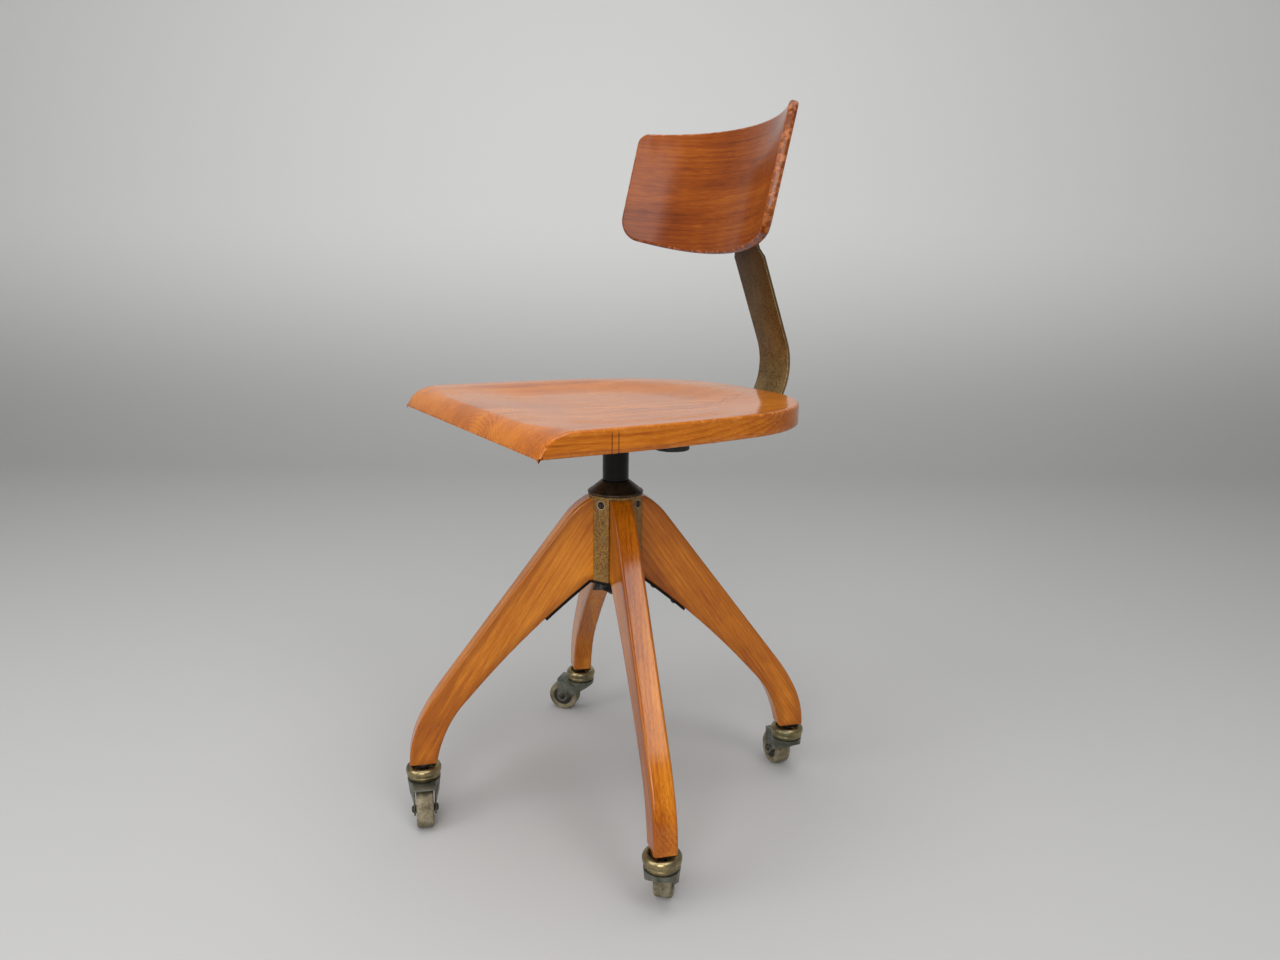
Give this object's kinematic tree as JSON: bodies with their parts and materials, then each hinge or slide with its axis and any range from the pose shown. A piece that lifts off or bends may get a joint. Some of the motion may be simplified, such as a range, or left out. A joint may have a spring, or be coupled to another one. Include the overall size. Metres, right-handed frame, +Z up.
{
  "type": "bankers swivel chair",
  "caption": "Swivel work chair: dished wooden seat on a height-adjustable column, curved backrest on a flat spring bar, curved wooden legs on swivel casters.",
  "frame": {"origin": "on the floor, on the column's axis", "axes": "+Z up along the column; the seat's front faces -Y and the backrest is at +Y; +X is the sitter's left as they sit facing -Y"},
  "size_m": [0.5101, 0.4937, 0.821],
  "materials": {
    "seat_wood": "gloss lacquer",
    "leg_wood": "gloss lacquer",
    "panel_wood": "gloss lacquer",
    "hammertone": "hammered paint",
    "bronze_paint": "semi-gloss",
    "black_paint": "semi-gloss",
    "dark_steel": "aged",
    "bright_steel": "ground",
    "brass_bush": "turned",
    "aged_brass": "aged plate",
    "zinc_steel": "aged zinc",
    "core_plastic": "matt",
    "tyre_rubber": "matt",
    "black_plastic": "satin"
  },
  "bodies": {
    "base": {"hub_housing": "hammertone", "hub_cap": "bronze_paint", "hub_screws": "dark_steel", "guide_bush": "brass_bush", "leg_strap": "black_paint", "strap_screws": "dark_steel", "bearing_cup": "black_paint", "thrust_race_lower": "bright_steel", "thrust_balls": "bright_steel", "leg_left": "leg_wood", "leg_rear": "leg_wood", "leg_right": "leg_wood", "leg_front": "leg_wood", "caster_stems": "dark_steel", "swivel_caps": "aged_brass", "swivel_races": "dark_steel"},
    "spindle": {"threaded_rod": "bright_steel", "thrust_race_upper": "bright_steel", "rod_nut": "dark_steel"},
    "seat_unit": {"seat": "seat_wood", "seat_bracket": "black_paint", "seat_screws": "dark_steel", "column_tube": "black_paint", "column_nut": "dark_steel", "clamp_plate": "dark_steel", "clamp_washer": "dark_steel"},
    "clamp": {"clamp_knob": "black_plastic"},
    "bar": {"back_bar": "hammertone", "bar_knuckle": "hammertone"},
    "back": {"backrest": "panel_wood", "backrest_bracket": "hammertone", "bracket_screws": "dark_steel", "pivot_pin": "dark_steel", "pivot_nut": "dark_steel"},
    "fork_body_left": {"fork_left": "zinc_steel", "axle_left": "dark_steel"},
    "wheel_left": {"wheel_core_left": "core_plastic", "tyre_left": "tyre_rubber"},
    "fork_body_rear": {"fork_rear": "zinc_steel", "axle_rear": "dark_steel"},
    "wheel_rear": {"wheel_core_rear": "core_plastic", "tyre_rear": "tyre_rubber"},
    "fork_body_right": {"fork_right": "zinc_steel", "axle_right": "dark_steel"},
    "wheel_right": {"wheel_core_right": "core_plastic", "tyre_right": "tyre_rubber"},
    "fork_body_front": {"fork_front": "zinc_steel", "axle_front": "dark_steel"},
    "wheel_front": {"wheel_core_front": "core_plastic", "tyre_front": "tyre_rubber"}
  },
  "joints": [
    {"name": "seat_swivel", "type": "hinge", "parent": "base", "child": "spindle", "pos_m": [0, 0, 0.3], "axis": [0, 0, 1], "continuous": true},
    {"name": "seat_height", "type": "slide", "parent": "spindle", "child": "seat_unit", "axis": [0, 0, 1], "range_m": [-0.04, 0.05]},
    {"name": "backrest_depth", "type": "slide", "parent": "seat_unit", "child": "bar", "axis": [0, 1, 0], "range_m": [0, 0.035]},
    {"name": "clamp_turn", "type": "hinge", "parent": "seat_unit", "child": "clamp", "pos_m": [0, 0.078, 0.4415], "axis": [0, 0, -1], "range_deg": [0, 360]},
    {"name": "backrest_tilt", "type": "hinge", "parent": "bar", "child": "back", "pos_m": [0, 0.17211, 0.7007], "axis": [1, 0, 0], "range_deg": [-20, 15]},
    {"name": "caster_swivel_left", "type": "hinge", "parent": "base", "child": "fork_body_left", "pos_m": [0.22484, -0.0666, 0.05], "axis": [0, 0, 1], "continuous": true},
    {"name": "wheel_spin_left", "type": "hinge", "parent": "fork_body_left", "child": "wheel_left", "pos_m": [0.20516, -0.05055, 0.0216], "axis": [-0.632, -0.7749, 0], "continuous": true},
    {"name": "caster_swivel_rear", "type": "hinge", "parent": "base", "child": "fork_body_rear", "pos_m": [0.0666, 0.22484, 0.05], "axis": [0, 0, 1], "continuous": true},
    {"name": "wheel_spin_rear", "type": "hinge", "parent": "fork_body_rear", "child": "wheel_rear", "pos_m": [0.04155, 0.22903, 0.0216], "axis": [-0.165, -0.9863, 0], "continuous": true},
    {"name": "caster_swivel_right", "type": "hinge", "parent": "base", "child": "fork_body_right", "pos_m": [-0.22484, 0.0666, 0.05], "axis": [0, 0, 1], "continuous": true},
    {"name": "wheel_spin_right", "type": "hinge", "parent": "fork_body_right", "child": "wheel_right", "pos_m": [-0.24339, 0.04925, 0.0216], "axis": [0.6833, -0.7302, 0], "continuous": true},
    {"name": "caster_swivel_front", "type": "hinge", "parent": "base", "child": "fork_body_front", "pos_m": [-0.0666, -0.22484, 0.05], "axis": [0, 0, 1], "continuous": true},
    {"name": "wheel_spin_front", "type": "hinge", "parent": "fork_body_front", "child": "wheel_front", "pos_m": [-0.04226, -0.2321, 0.0216], "axis": [0.2857, 0.9583, 0], "continuous": true}
  ]
}
